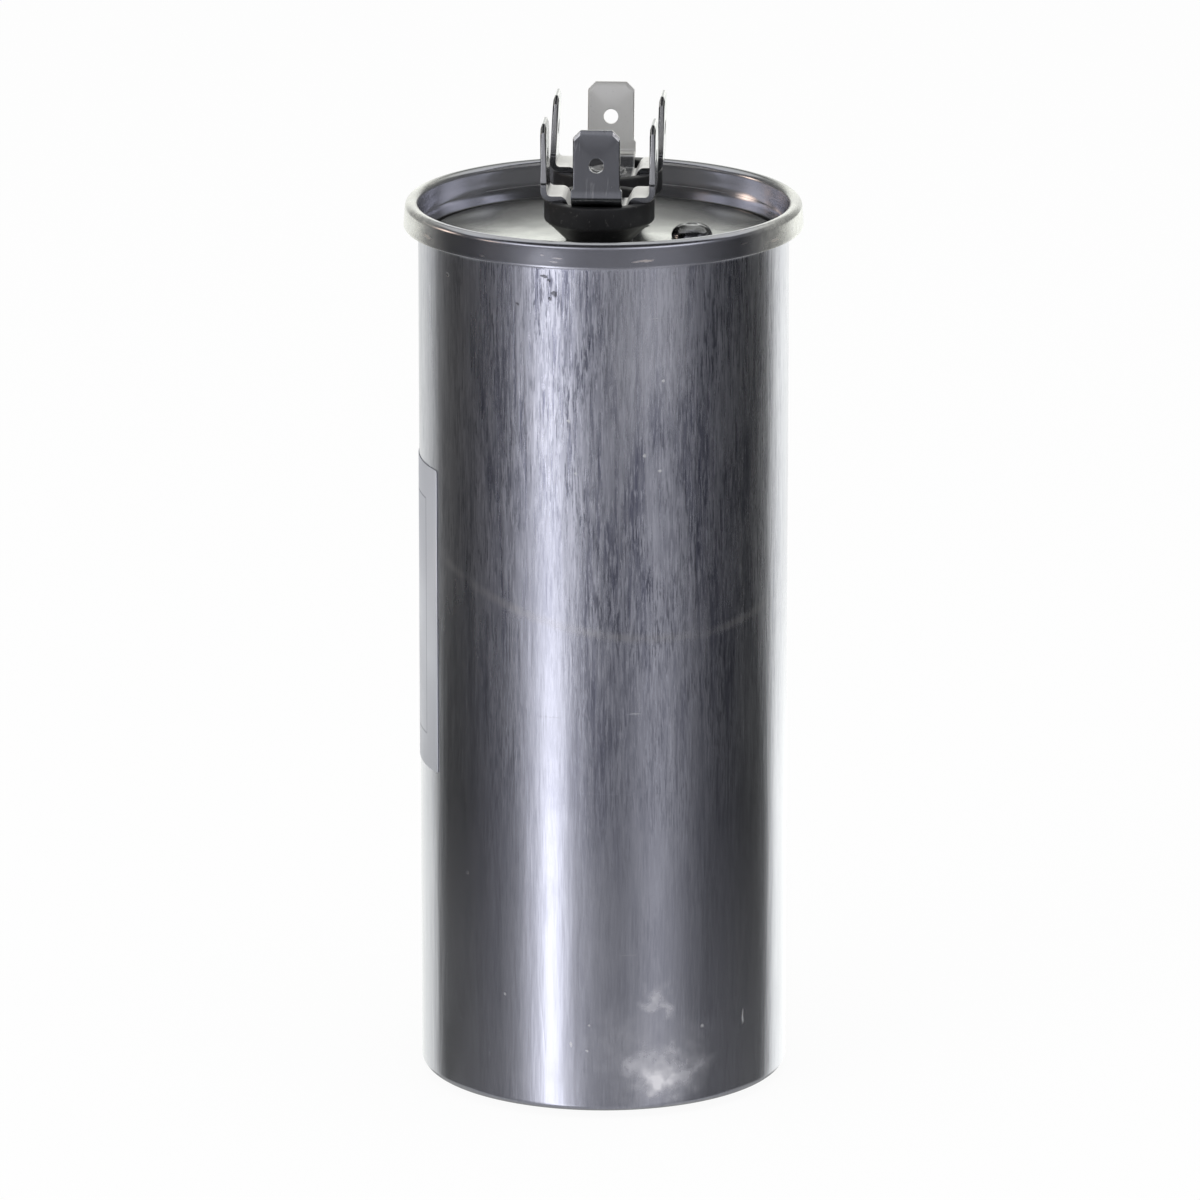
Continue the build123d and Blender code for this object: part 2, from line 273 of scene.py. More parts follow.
def makeWorld():
    world = bpy.data.worlds.new("studioSet")
    bpy.context.scene.world = world
    world.use_nodes = True
    world.cycles.sampling_method = "NONE"
    tree = world.node_tree
    tree.nodes.clear()
    direction = addNode(tree, "TexCoord", {}).outputs["Generated"]
    turned = stretched(direction, (1, 1, 1), (0, 0, -radians(cameraView["azimuth"])))
    split = parted(turned)
    compass = calc("ARCTAN2", split[0], times(split[1], -1.0))
    height = calc("ARCSINE", split[2])
    level = setBrightness(compass, height, split[1])
    rays = addNode(tree, "LightPath", {}).outputs
    mirrored = highest(rays["Is Glossy Ray"], rays["Is Transmission Ray"])
    seen = mixValue(mirrored, studio["ambient"], level)
    strength = mixValue(rays["Is Camera Ray"], seen, 1.0)
    warm = times(warmGlow(compass, height), rays["Is Glossy Ray"])
    cold = times(remap(split[1], 0.3, -0.2), mirrored)
    tint = mixColor(mirrored, (1, 1, 1, 1), studio["backTint"])
    tint = mixColor(cold, tint, studio["coldTint"])
    color = mixColor(warm, tint, studio["warmTint"])
    light = joined("Background", {"Color": color, "Strength": added(strength, warm)})
    joined("OutputWorld", {"Surface": light.outputs[0]})


def addLamp(name, power, size, place):
    data = bpy.data.lights.new(name, "AREA")
    data.energy = power
    data.shape = "SQUARE"
    data.size = size
    lamp = bpy.data.objects.new(name, data)
    lamp.location = place
    aim = Vector(studio["lampAim"]) - Vector(place)
    lamp.rotation_euler = aim.to_track_quat("-Z", "Y").to_euler()
    lamp.visible_glossy = False
    lamp.visible_camera = False
    bpy.context.scene.collection.objects.link(lamp)


def makeFloor():
    bm = bmesh.new()
    bmesh.ops.create_grid(bm, x_segments=8, y_segments=8, size=studio["floorSize"] / 2)
    mesh = bpy.data.meshes.new("studioFloor")
    bm.to_mesh(mesh)
    bm.free()
    floor = bpy.data.objects.new("studioFloor", mesh)
    bpy.context.scene.collection.objects.link(floor)
    floor.visible_glossy = False
    material = bpy.data.materials.new("paleFloor")
    material.use_nodes = True
    tree = material.node_tree
    tree.nodes.clear()
    paper = addNode(tree, "BsdfDiffuse", {"Color": studio["floorColor"]})
    glow = addNode(tree, "Emission", {"Color": (1, 1, 1, 1), "Strength": 1.0})
    rays = addNode(tree, "LightPath", {}).outputs
    share = times(rays["Is Camera Ray"], studio["floorGlow"])
    blend = joined("MixShader", {0: share, 1: paper.outputs[0], 2: glow.outputs[0]})
    joined("OutputMaterial", {"Surface": blend.outputs[0]})
    mesh.materials.append(material)


setCamera()
makeWorld()
makeFloor()
addLamp("topSoftbox", studio["topPower"], studio["topSize"], (0.1, -0.2, 1.3))
addLamp("keySoftbox", studio["keyPower"], studio["keySize"], (-1.0, -1.1, 0.9))
print("camera, set and lamps are up")


def newGroup(name, inputs):  # a shared shader group that gives a mask; inputs by name and default
    group = bpy.data.node_groups.new(name, "ShaderNodeTree")
    for label, value in inputs.items():
        kind = "NodeSocketVector" if isinstance(value, tuple) else "NodeSocketFloat"
        group.interface.new_socket(name=label, in_out="INPUT", socket_type=kind).default_value = value
    group.interface.new_socket(name="Mask", in_out="OUTPUT", socket_type="NodeSocketFloat")
    given = group.nodes.new("NodeGroupInput").outputs
    return group, given, group.nodes.new("NodeGroupOutput").inputs["Mask"]


def makeStreakGroup():  # long upright lines left by drawing the can
    inputs = {"Place": (0, 0, 0), "Width": 1.0, "Length": 30.0, "Break Up": 0.5}
    group, given, mask = newGroup("drawnStreaks", inputs)
    split = parted(given["Place"])
    across = calc("DIVIDE", 1 / mm, given["Width"])
    along = calc("DIVIDE", 1 / mm, given["Length"])
    parts = {axis: times(split[axis], scale) for axis, scale in enumerate((across, across, along))}
    where = joined("CombineXYZ", parts).outputs[0]
    lines = noiseOf(where, 1.0, 5.0, given["Break Up"])
    fill(mask, remap(lines, 0.3, 0.7))
    return group


def makePatchGroup():  # cloudy areas with soft or crisp borders
    inputs = {"Place": (0, 0, 0), "Size": 10.0, "Cover": 0.5, "Softness": 0.1}
    group, given, mask = newGroup("cloudPatches", inputs)
    scale = calc("DIVIDE", 1 / mm, given["Size"])
    cloud = noiseOf(given["Place"], scale, 6.0, 0.6, 0.3)
    middle = remap(given["Cover"], 0, 1, 0.75, 0.25)
    low = calc("SUBTRACT", middle, given["Softness"])
    high = added(middle, given["Softness"])
    fill(mask, eased(cloud, low, high))
    return group


def makeSpotGroup():  # one local mark with ragged borders
    inputs = {"Place": (0, 0, 0), "Centre": (0, 0, 0), "Radii": (1, 1, 1), "Ragged": 0.3, "Core": 0.45}
    group, given, mask = newGroup("markSpot", inputs)
    offset = vectorCalc("SUBTRACT", given["Place"], given["Centre"])
    scaled = vectorCalc("DIVIDE", offset, given["Radii"])
    ragged = calc("SUBTRACT", noiseOf(scaled, 1.6, 4.0, 0.6), 0.5)
    reach = added(vectorCalc("LENGTH", scaled), times(ragged, given["Ragged"]))
    fill(mask, eased(reach, 1.0, given["Core"]))
    return group


def makeScratchGroup():  # thin broken lines; the long way of the lines is set by the mapping
    inputs = {"Place": (0, 0, 0), "Spacing": 3.0, "Thinness": 0.03, "Cover": 0.4}
    group, given, mask = newGroup("thinScratches", inputs)
    scale = calc("DIVIDE", 1 / mm, given["Spacing"])
    waves = noiseOf(given["Place"], scale, 2.0, 0.5, 0.4)
    line = calc("ABSOLUTE", calc("SUBTRACT", waves, 0.5))
    thin = remap(line, given["Thinness"], 0.0)
    broken = noiseOf(given["Place"], times(scale, 2.3), 2.0)
    middle = remap(given["Cover"], 0, 1, 0.75, 0.25)
    kept = remap(broken, middle, added(middle, 0.05))
    fill(mask, times(thin, kept))
    return group


def makeEdgeGroup():  # where a corner has been rubbed
    group, given, mask = newGroup("edgeRub", {"Width": 0.3, "Place": (0, 0, 0)})
    radius = times(given["Width"], mm)
    rounded = joined("Bevel", {"Radius": radius}, samples=4).outputs[0]
    plain = addNode(group, "NewGeometry", {}).outputs["Normal"]
    turn = opposite(vectorCalc("DOT_PRODUCT", rounded, plain))
    uneven = remap(noiseOf(given["Place"], 900.0), 0.3, 0.7, 0.4, 1.6)
    fill(mask, remap(times(turn, uneven), 0.01, 0.12))
    return group


streakGroup = makeStreakGroup()
patchGroup = makePatchGroup()
spotGroup = makeSpotGroup()
scratchGroup = makeScratchGroup()
edgeGroup = makeEdgeGroup()


def useGroup(group, **values):
    inputs = {name.replace("_", " "): value for name, value in values.items()}
    return joined("Group", inputs, node_tree=group).outputs[0]


def patchesOf(place, size, cover, softness):
    return useGroup(patchGroup, Place=place, Size=size, Cover=cover, Softness=softness)


def newMaterial(name):
    material = bpy.data.materials.new(name)
    material.use_nodes = True
    tree = material.node_tree
    tree.nodes.clear()
    return material, addNode(tree, "TexCoord", {}).outputs["Object"]


def finished(material, color, metallic, roughness, height, relief):  # relief in millimetres
    bump = joined("Bump", {"Height": height, "Distance": relief * mm, "Strength": 1.0})
    inputs = {"Base Color": color, "Metallic": metallic, "Roughness": roughness}
    shader = joined("BsdfPrincipled", {**inputs, "Normal": bump.outputs[0]})
    joined("OutputMaterial", {"Surface": shader.outputs[0]})
    return material


def wallPoint(radius, angle, level):  # the compass angle is 0 at the front
    turn = radians(angle)
    return (radius * mm * sin(turn), -radius * mm * cos(turn), level * mm)


def markField(place, radius, marks, ragged, core):
    masks = []
    for angle, level, wide, tall, strength in marks:
        radii = (wide * mm, wide * mm, tall * mm)
        mask = useGroup(spotGroup, Place=place, Centre=wallPoint(radius, angle, level), Radii=radii,
                        Ragged=ragged, Core=core)
        masks.append(times(mask, strength))
    return highest(*masks)


canFinish = {
    "radius": 25.0,
    "metal": (0.605, 0.61, 0.655, 1),
    "oxide": (0.25, 0.255, 0.32, 1),
    "pale": (0.84, 0.84, 0.89, 1),
    "pit": (0.13, 0.135, 0.175, 1),
    "stain": (0.86, 0.86, 0.86, 1),
    "deposit": (0.84, 0.83, 0.88, 1),
    "soot": (0.10, 0.10, 0.11, 1),
    "rubbed": (0.80, 0.75, 0.66, 1),
    "roughness": 0.15,
    "haze": 0.1,
    "streakDepth": 0.035,
    "fleckShift": (0.31, 0.17, 0.23),
    "stainWarp": (7 * mm, 7 * mm, 9 * mm),
    "rubRing": {"level": 76.7, "swing": 9.6, "lowestAt": 27.0, "width": 1.1},
}

# Lines left by drawing the can: width, length, how broken they are
canStreaks = {
    "wide": (9.0, 90.0, 0.55),
    "middling": (2.4, 22.0, 0.6),
    "fine": (0.7, 13.0, 0.7),
    "hair": (0.35, 40.0, 0.8),
    "flecks": (0.27, 3.2, 0.65),
    "glints": (0.25, 3.2, 0.65),
}

# Marks on the wall: compass angle, height, radii along the wall and up it, strength
paleMarks = [
    (-7.1, 97.3, 0.3, 0.3, 0.9), (21.1, 90.3, 0.3, 0.25, 0.9), (22.2, 102.6, 0.25, 0.3, 0.9),
    (-4.9, 90.1, 0.25, 0.3, 0.8), (16.3, 92.5, 0.25, 0.35, 0.8), (13.4, 56.9, 0.9, 0.15, 0.4),
    (11.5, 23.1, 1.6, 0.08, 0.2), (52.9, 11.6, 0.24, 1.3, 0.8), (19.5, 111.2, 1.6, 0.08, 0.3),
    (21.5, 110.9, 1.2, 0.06, 0.25), (-6.5, 10.4, 0.22, 0.45, 0.8), (-1.5, 9.6, 0.25, 0.2, 0.7),
    (-0.8, 13.2, 0.2, 0.2, 0.7), (-28.6, 16.5, 0.25, 0.25, 0.6), (36.0, 12.0, 0.3, 0.3, 0.6),
]
stainClouds = [
    (20.2, 15.6, 3.6, 2.8, 0.6), (22.3, 17.0, 1.6, 3.4, 0.45), (17.6, 16.6, 2.8, 1.8, 0.45),
    (21.8, 6.2, 7.4, 6.0, 0.85), (21.4, 5.4, 4.6, 4.8, 1.3), (25.0, 10.4, 3.4, 2.4, 0.4),
    (33.0, 7.2, 5.0, 4.2, 0.3), (17.0, 9.0, 12.0, 10.0, 0.22), (-10.0, 5.5, 8.0, 3.5, 0.1),
]
darkMarks = [
    (-14.7, 116.9, 0.6, 0.25, 0.9), (-13.2, 116.4, 0.3, 0.2, 0.8), (-11.5, 114.6, 0.5, 0.4, 0.9),
    (-12.9, 113.9, 0.3, 0.25, 0.8), (-23.6, 112.8, 0.4, 0.25, 0.9), (-53.0, 114.8, 0.4, 0.3, 0.7),
    (-43.7, 32.4, 0.25, 0.25, 0.7), (-34.0, 7.6, 0.35, 0.25, 0.6), (26.0, 117.2, 0.3, 0.3, 0.6),
]


def rubRing(place, ring):  # a faint beige line worn round the wall on a slant
    slope = ring["swing"] / canFinish["radius"]
    turn = radians(ring["lowestAt"])
    level = vectorCalc("DOT_PRODUCT", place, (slope * sin(turn), -slope * cos(turn), 1.0))
    gap = calc("ABSOLUTE", calc("SUBTRACT", level, ring["level"] * mm))
    line = softRise(gap, ring["width"], 0.0)
    broken = patchesOf(place, 8.0, 0.55, 0.2)
    return times(line, broken, rise(parted(place)[1], -6, -16))


def towards(place, angle, low, high):  # 1 on the side of the wall that faces the angle
    reach = vectorCalc("DOT_PRODUCT", place, wallPoint(1 / mm, angle, 0))
    radius = canFinish["radius"]
    return softRise(reach, radius * low, radius * high)


def wallStains(place):  # chalky deposits near the foot, with wandering borders
    warp = joined("TexNoise", {"Vector": place, "Scale": 300.0, "Detail": 3.0}).outputs["Color"]
    warp = vectorCalc("SUBTRACT", warp, (0.5, 0.5, 0.5))
    moved = vectorCalc("ADD", place, vectorCalc("MULTIPLY", warp, canFinish["stainWarp"]))
    stains = markField(moved, canFinish["radius"], stainClouds, 0.1, -0.15)
    blotchy = remap(noiseOf(place, 420.0, 2.5, 0.55, 0.6), 0.3, 0.7, 0.45, 1.3)
    return calc("MULTIPLY", stains, blotchy, clamp=True)


def makeCanAluminium():
    finish = canFinish
    material, place = newMaterial("drawnAluminium")
    level = parted(place)[2]

    # the drawing marks fade towards the foot, round the sides and in the bright band
    upper = softRise(level, 26, 84, 0.17, 1.0)
    faced = remap(towards(place, 10, 0.45, 0.85), 0, 1, 0.35, 1.0)
    calm = times(towards(place, -14, 0.975, 0.997), softRise(level, 96, 80, 0, 0.65))
    worked = times(upper, rise(level, 118.2, 117.8), faced, opposite(calm))
    where = dict.fromkeys(canStreaks, place)
    where["glints"] = vectorCalc("ADD", place, finish["fleckShift"])
    streaks = {name: useGroup(streakGroup, Place=where[name], Width=wide, Length=tall, Break_Up=broken)
               for name, (wide, tall, broken) in canStreaks.items()}
    lengthwise = stretched(place, (1.0, 1.0, 0.4))
    clouds = patchesOf(lengthwise, 13.0, 0.5, 0.16)
    clusters = patchesOf(lengthwise, 5.0, 0.5, 0.14)
    tone = weighted((streaks["middling"], 0.5), (streaks["fine"], 0.5))
    contrast = times(calc("SUBTRACT", tone, 0.5), worked)

    # metal, oxide film, flecks
    pale = calc("MULTIPLY", contrast, 3.0, clamp=True)
    dull = calc("MULTIPLY", contrast, -3.4, clamp=True)
    color = mixColor(pale, finish["metal"], finish["pale"])
    color = mixColor(dull, color, finish["oxide"])
    lower = times(rise(level, 72, 40, 0, 0.3), clouds, faced)
    film = highest(times(worked, clouds, 0.5), times(upper, 0.16), lower)
    color = mixColor(film, color, finish["oxide"])
    darkFlecks = times(remap(streaks["flecks"], 0.52, 0.62), clusters, worked)
    paleFlecks = times(remap(streaks["glints"], 0.57, 0.68), worked)
    color = coated(color, finish["pit"], darkFlecks, 0.8)
    color = coated(color, finish["pale"], paleFlecks, 0.6)

    # local marks, stains, the worn ring, scratches and a paler zone at the top
    marks = markField(place, finish["radius"], paleMarks, 2.0, 0.4)
    pits = markField(place, finish["radius"], darkMarks, 2.2, 0.4)
    stains = wallStains(place)
    worn = rubRing(place, finish["rubRing"])
    across = stretched(place, (0.12, 0.12, 2.2), (0.05, 0.03, 0))
    scratch = useGroup(scratchGroup, Place=across, Spacing=6.0, Thinness=0.004, Cover=0.22)
    upright = stretched(place, (1.0, 1.0, 0.06), (0.02, -0.03, 0))
    lines = useGroup(scratchGroup, Place=upright, Spacing=4.0, Thinness=0.01, Cover=0.4)
    paler = times(towards(place, 17, 0.95, 0.995), softRise(level, 92, 106))
    color = mixColor(marks, color, finish["stain"])
    color = mixColor(stains, color, finish["deposit"])
    color = coated(color, finish["soot"], pits, 0.8)
    color = coated(color, finish["rubbed"], worn, 0.2)
    color = coated(color, finish["pale"], scratch, 0.15)
    color = coated(color, finish["pale"], paler, 0.45)

    rough = weighted((contrast, 0.14), (upper, 0.12), (marks, 0.3), (worn, 0.04), (stains, 0.3),
                     (clouds, 0.03))
    relief = weighted((streaks["middling"], 0.55), (streaks["fine"], 0.26), (streaks["hair"], 0.1),
                      (streaks["flecks"], 0.05))
    relief = times(relief, added(worked, 0.01))
    dents = weighted((streaks["wide"], 1.6), (pits, -1.0), (scratch, -0.1), (lines, -0.06))
    height = times(added(dents, relief), rise(level, 0.3, 1.6))
    haze = times(rise(level, 42, 4), remap(clouds, 0, 1, 0.7, 1.3))
    chalk = weighted((stains, 0.9), (marks, 0.4), (worn, 0.05), (haze, finish["haze"]), (paler, 0.06))
    return finished(material, color, opposite(chalk), added(finish["roughness"], rough),
                    height, finish["streakDepth"])


lidFinish = {
    "panel": (0.82, 0.83, 0.79, 1),
    "rim": (0.60, 0.605, 0.65, 1),
    "cream": (0.87, 0.87, 0.82, 1),
    "dull": (0.42, 0.41, 0.40, 1),
    # dark colour used as painted shade in the groove and on the back of the panel, and to darken the back of
    # the seam
    "grimeAndShade": (0.10, 0.10, 0.095, 1),
    "scuff": (0.92, 0.84, 0.78, 1),
    "roughness": 0.15,
    "panelRoughness": 0.02,
    "film": 0.09,
    "panelFilm": 0.018,
    "outerFilm": 0.02,
    "wallHaze": 0.14,
    "relief": 0.1,
}

# Scuffs on the rim: compass angle, height, radii along and up, strength
rimScuffs = [
    (15.6, 119.6, 1.3, 0.2, 1.0), (12.8, 119.5, 0.6, 0.12, 0.8), (-9.5, 119.9, 0.9, 0.12, 0.5),
    (-10.5, 119.4, 0.8, 0.15, 0.35), (-14.0, 120.2, 0.4, 0.12, 0.4), (62.0, 119.6, 1.4, 0.25, 0.6),
    (-58.0, 119.8, 1.4, 0.3, 0.5), (48.0, 120.3, 0.8, 0.15, 0.4), (-33.0, 119.2, 0.5, 0.15, 0.35),
]


def makeLidTinplate():
    finish = lidFinish
    material, place = newMaterial("tinplate")
    split = parted(place)
    radius = vectorCalc("LENGTH", joined("CombineXYZ", {0: split[0], 1: split[1]}).outputs[0])
    patches = patchesOf(place, 7.0, 0.5, 0.16)
    blotches = patchesOf(place, 1.6, 0.5, 0.1)
    grimeAndShade = patchesOf(place, 0.7, 0.42, 0.06)
    specks = patchesOf(place, 0.9, 0.28, 0.05)
    rub = useGroup(edgeGroup, Width=0.4, Place=place)
    band = stretched(place, (0.25, 0.25, 3.0))
    scratch = useGroup(scratchGroup, Place=band, Spacing=5.0, Thinness=0.01, Cover=0.4)
    scuffs = markField(place, 26.9, rimScuffs, 1.8, 0.45)

    # zones: panel, bead and groove round it, outside of the seam at the sides and at the back. The bead is
    # painted as a highlight, the groove and the back of the panel as shade, the ends of the seam as a pale
    # sheen, and the back of the seam is darker
    onPanel = times(rise(radius, 23.6, 23.4), rise(split[2], 118.4, 118.0))
    offPanel = opposite(onPanel)
    outside = rise(radius, 24.95, 25.3)
    sides = times(softRise(calc("ABSOLUTE", split[0]), 19, 24.5), outside)
    # painted sheen: the left and right ends of the seam's outside are painted pale cream, a little blotchy,
    # and made less metallic
    paintedSideSheen = times(sides, remap(blotches, 0, 1, 0.8, 1.0))
    soiled = times(grimeAndShade, sides, offPanel)
    low = rise(split[2], 117.2, 117.0)
    # painted highlight: the rounded edge round the panel is painted cream and made less metallic
    paintedBeadHighlight = times(rise(radius, 22.95, 23.15), rise(radius, 23.55, 23.45), low)
    # painted shade: the groove round the panel is painted dark
    paintedGrooveShade = times(rise(radius, 23.45, 23.6), low)
    # the outside of the seam is made darker towards the back
    backDarkening = times(rise(radius, 25.35, 25.6), rise(split[1], 7, 15, 0, 0.75))
    # painted shade: the back part of the panel is painted darker where it mirrors the dark wall
    shade = times(rise(radius, 17, 22.5), rise(split[1], 5, 14), onPanel,
                  remap(patches, 0, 1, 0.9, 0.7))
    hazy = times(rise(split[2], 118.7, 119.3), rise(split[1], 9, 17),
                 rise(radius, 25.1, 24.95))

    color = mixColor(onPanel, finish["rim"], finish["panel"])
    layers = [("cream", paintedSideSheen, offPanel), ("dull", soiled, 0.12), ("dull", patches, 0.12)]
    layers += [("dull", specks, 0.16), ("cream", rub, 0.25), ("scuff", scratch, 0.3), ("scuff", scuffs, 1.0)]
    layers += [("grimeAndShade", backDarkening, 1.0), ("grimeAndShade", shade, 1.0), ("cream", paintedBeadHighlight, 1.0), ("grimeAndShade", paintedGrooveShade, 0.85)]
    for layer, mask, share in layers:
        color = coated(color, finish[layer], mask, share)
    rough = weighted((patches, 0.05), (onPanel, finish["panelRoughness"]), (scuffs, 0.3), (paintedSideSheen, 0.12))
    lumps = times(blotches, sides, offPanel)
    height = added(noiseOf(place, 90.0, 2.0),
                   weighted((scratch, -0.012), (lumps, 0.025), (soiled, -0.012)))
    film = mixValue(outside, finish["film"], finish["outerFilm"])
    film = mixValue(onPanel, film, finish["panelFilm"])
    film = added(film, weighted((hazy, finish["wallHaze"]), (paintedSideSheen, 0.3), (paintedBeadHighlight, 0.3)))
    return finished(material, color, opposite(film), added(finish["roughness"], rough),
                    height, finish["relief"])


tabFinish = {
    "metal": (0.40, 0.405, 0.42, 1),
    "dull": (0.31, 0.31, 0.32, 1),
    "bright": (0.90, 0.89, 0.86, 1),
    # pale colour for dust with painted sheen on the upward faces of the arms
    "dustAndTopSheen": (0.97, 0.96, 0.92, 1),
    # painted light: pale colour that makes the rear terminal a lit copy of the front one
    "paintedRearSheen": (0.84, 0.83, 0.79, 1),
    "soil": (0.16, 0.155, 0.15, 1),
    "roughness": 0.17,
    "relief": 0.012,
}


def makeTabTinned():
    finish = tabFinish
    material, place = newMaterial("tinnedBrass")
    patches = patchesOf(place, 4.0, 0.45, 0.2)
    grain = useGroup(streakGroup, Place=place, Width=0.25, Length=6.0, Break_Up=0.6)
    spots = patchesOf(place, 0.8, 0.17, 0.05)
    rub = useGroup(edgeGroup, Width=0.15, Place=place)
    upright = stretched(place, (1.0, 1.0, 0.1), (0.06, 0.04, 0))
    scratch = useGroup(scratchGroup, Place=upright, Spacing=1.6, Thinness=0.02, Cover=0.4)
    split = parted(place)
    normal = parted(addNode(place.id_data, "NewGeometry", {}).outputs["Normal"])
    aside = calc("ABSOLUTE", split[0])

    # dust with painted sheen on the upward faces of the side arms, a rear terminal painted paler and rougher
    # as painted light, painted glints on the coined corners and painted highlights on the cut edges
    dustAndTopSheen = times(remap(normal[2], 0.25, 0.6), rise(split[2], 126.5, 126),
                  remap(patches, 0, 1, 1.0, 0.85), rise(aside, 3.1, 3.5, 0.12, 1.0))
    # painted light: the rear terminal is painted paler, rougher and less metallic
    paintedRearSheen = rise(split[1], 13.5, 14.5)
    # painted glints: the coined corners of the blades are painted bright
    coined = times(remap(calc("ABSOLUTE", normal[0]), 0.2, 0.3),
                   remap(normal[2], 0.2, 0.3), rise(split[2], 132, 132.5))
    # painted highlights: the cut edges of the side tabs are painted bright
    cut = times(rise(aside, 5.3, 5.7), rise(split[2], 126, 127),
                remap(calc("ABSOLUTE", normal[1]), 0.7, 0.85))
    color = finish["metal"]
    layers = [("dull", patches, 0.5), ("bright", rub, 0.3), ("bright", scratch, 0.3), ("paintedRearSheen", paintedRearSheen, 1.0)]
    layers += [("dustAndTopSheen", dustAndTopSheen, 1.0), ("bright", coined, 1.0), ("bright", cut, 0.6), ("soil", spots, 0.3)]
    for layer, mask, share in layers:
        color = coated(color, finish[layer], mask, share)
    rough = weighted((patches, 0.08), (paintedRearSheen, 0.14), (dustAndTopSheen, 0.2), (spots, 0.1))
    film = highest(times(dustAndTopSheen, 0.8), times(paintedRearSheen, 0.3))
    height = weighted((grain, 0.4), (scratch, -0.4))
    return finished(material, color, opposite(film), added(finish["roughness"], rough),
                    height, finish["relief"])


bushFinish = {
    "plastic": (0.012, 0.012, 0.013, 1),
    "worn": (0.05, 0.05, 0.052, 1),
    "dust": (0.2, 0.19, 0.18, 1),
    "roughness": 0.38,
    "relief": 0.01,
}


def makeBushPlastic():
    material, place = newMaterial("blackPlastic")
    patches = patchesOf(place, 3.0, 0.5, 0.2)
    dust = patchesOf(place, 0.5, 0.2, 0.05)
    rub = useGroup(edgeGroup, Width=0.3, Place=place)
    color = mixColor(rub, bushFinish["plastic"], bushFinish["worn"])
    color = coated(color, bushFinish["dust"], dust, 0.3)
    rough = added(bushFinish["roughness"], times(patches, 0.14))
    return finished(material, color, 0.0, rough, noiseOf(place, 3500.0), bushFinish["relief"])


plugFinish = {
    "solder": (0.3, 0.3, 0.31, 1),
    "dull": (0.15, 0.15, 0.15, 1),
    "roughness": 0.12,
    "relief": 0.08,
}


def makePlugSolder():
    material, place = newMaterial("solder")
    patches = patchesOf(place, 1.6, 0.55, 0.15)
    color = mixColor(patches, plugFinish["solder"], plugFinish["dull"])
    rough = added(plugFinish["roughness"], times(patches, 0.12))
    return finished(material, color, 1.0, rough, noiseOf(place, 700.0), plugFinish["relief"])


labelFinish = {
    "foil": (0.70, 0.715, 0.77, 1),
    "cloudy": (0.6, 0.61, 0.64, 1),
    "ink": (0.36, 0.37, 0.42, 1),
    "metallic": 0.35,
    "roughness": 0.42,
    "relief": 0.006,
}

# Plain ruled lines of the blank form, as centre and size on the flat label in millimetres
labelRules = [(37.1, level, 66.0, 0.25) for level in (37.6, 4.6)]
labelRules += [(along, 21.1, 0.25, 33.0) for along in (4.1, 70.1)]
labelRules += [(26.0, level, 38.0, 0.2) for level in (30.0, 24.4, 18.8, 13.2)]


def makeLabelFoil():
    finish = labelFinish
    material, place = newMaterial("labelFoil")
    split = parted(addNode(place.id_data, "UVMap", {}, uv_map="labelPlace").outputs[0])
    clouds = patchesOf(place, 12.0, 0.5, 0.25)
    grain = useGroup(streakGroup, Place=place, Width=0.4, Length=3.0, Break_Up=0.6)
    printed = []
    for along, level, wide, tall in labelRules:
        sideways = calc("ABSOLUTE", calc("SUBTRACT", split[0], along))
        upward = calc("ABSOLUTE", calc("SUBTRACT", split[1], level))
        inside = calc("LESS_THAN", sideways, wide / 2)
        printed.append(times(inside, calc("LESS_THAN", upward, tall / 2)))
    color = coated(finish["foil"], finish["cloudy"], clouds, 0.25)
    color = coated(color, finish["ink"], highest(*printed), 0.8)
    rough = added(finish["roughness"], times(clouds, 0.1))
    return finished(material, color, finish["metallic"], rough, grain, finish["relief"])


simpleFinishes = {  # color, second color, metallic, roughness, pattern size in mm, bump in mm
    "gasket_rubber": ((0.014, 0.013, 0.012, 1), (0.035, 0.033, 0.03, 1), 0.0, 0.62, 1.2, 0.02),
    "seam_compound": ((0.10, 0.06, 0.03, 1), (0.16, 0.10, 0.05, 1), 0.0, 0.7, 1.0, 0.02),
    "washer_plastic": ((0.02, 0.02, 0.022, 1), (0.04, 0.04, 0.042, 1), 0.0, 0.5, 1.5, 0.01),
    "lug_brass": ((0.72, 0.55, 0.27, 1), (0.55, 0.40, 0.20, 1), 1.0, 0.3, 2.0, 0.01),
    "lead_copper": ((0.70, 0.38, 0.24, 1), (0.50, 0.27, 0.17, 1), 1.0, 0.3, 2.0, 0.01),
    "film_winding": ((0.60, 0.61, 0.64, 1), (0.45, 0.46, 0.50, 1), 0.6, 0.3, 6.0, 0.02),
    "end_spray": ((0.42, 0.42, 0.43, 1), (0.30, 0.30, 0.31, 1), 0.8, 0.65, 0.6, 0.06),
    "core_plastic": ((0.70, 0.69, 0.64, 1), (0.60, 0.59, 0.54, 1), 0.0, 0.45, 3.0, 0.01),
    "wrap_film": ((0.55, 0.56, 0.52, 1), (0.45, 0.46, 0.43, 1), 0.0, 0.35, 5.0, 0.01),
    "cup_plastic": ((0.66, 0.66, 0.62, 1), (0.56, 0.56, 0.53, 1), 0.0, 0.5, 4.0, 0.02),
    "spacer_board": ((0.30, 0.20, 0.11, 1), (0.22, 0.14, 0.08, 1), 0.0, 0.7, 1.0, 0.03),
}


def makeSimpleFinish(name):
    color, second, metallic, roughness, size, relief = simpleFinishes[name]
    material, place = newMaterial(name.replace("_", ""))
    patches = patchesOf(place, size, 0.5, 0.15)
    fine = noiseOf(place, 2500.0 / size, 4.0)
    rough = remap(fine, 0.3, 0.7, roughness - 0.06, roughness + 0.06)
    return finished(material, mixColor(patches, color, second), metallic, rough, fine, relief)


